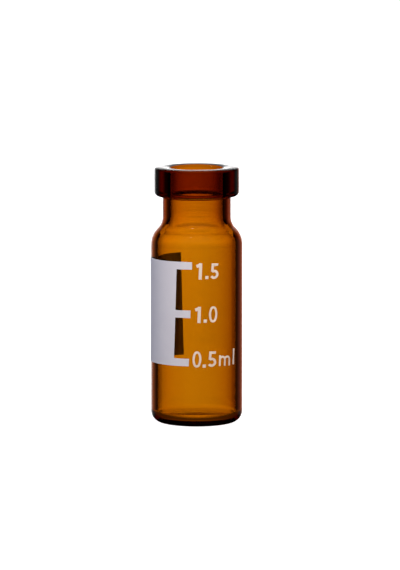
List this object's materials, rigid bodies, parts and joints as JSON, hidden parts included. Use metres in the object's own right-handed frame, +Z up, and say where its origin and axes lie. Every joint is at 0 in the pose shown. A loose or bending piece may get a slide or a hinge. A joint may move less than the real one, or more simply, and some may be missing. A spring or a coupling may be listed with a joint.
{
  "type": "glass sample vial",
  "caption": "Small open amber glass vial with a rounded shoulder, a short neck, a crimp bead round the mouth and a white write-on patch with graduation bars.",
  "frame": {"origin": "centre of the base, on the plane that the vial stands on", "axes": "+Z up along the vial's axis towards the mouth; -Y is the front, where the graduation bars end; +X is to the right of the print"},
  "size_m": [0.0116, 0.0116, 0.0325],
  "materials": {
    "amber_glass": "polished",
    "white_enamel": "satin"
  },
  "bodies": {
    "root": {"glass_body": "amber_glass", "write_on_patch": "white_enamel"}
  },
  "joints": []
}
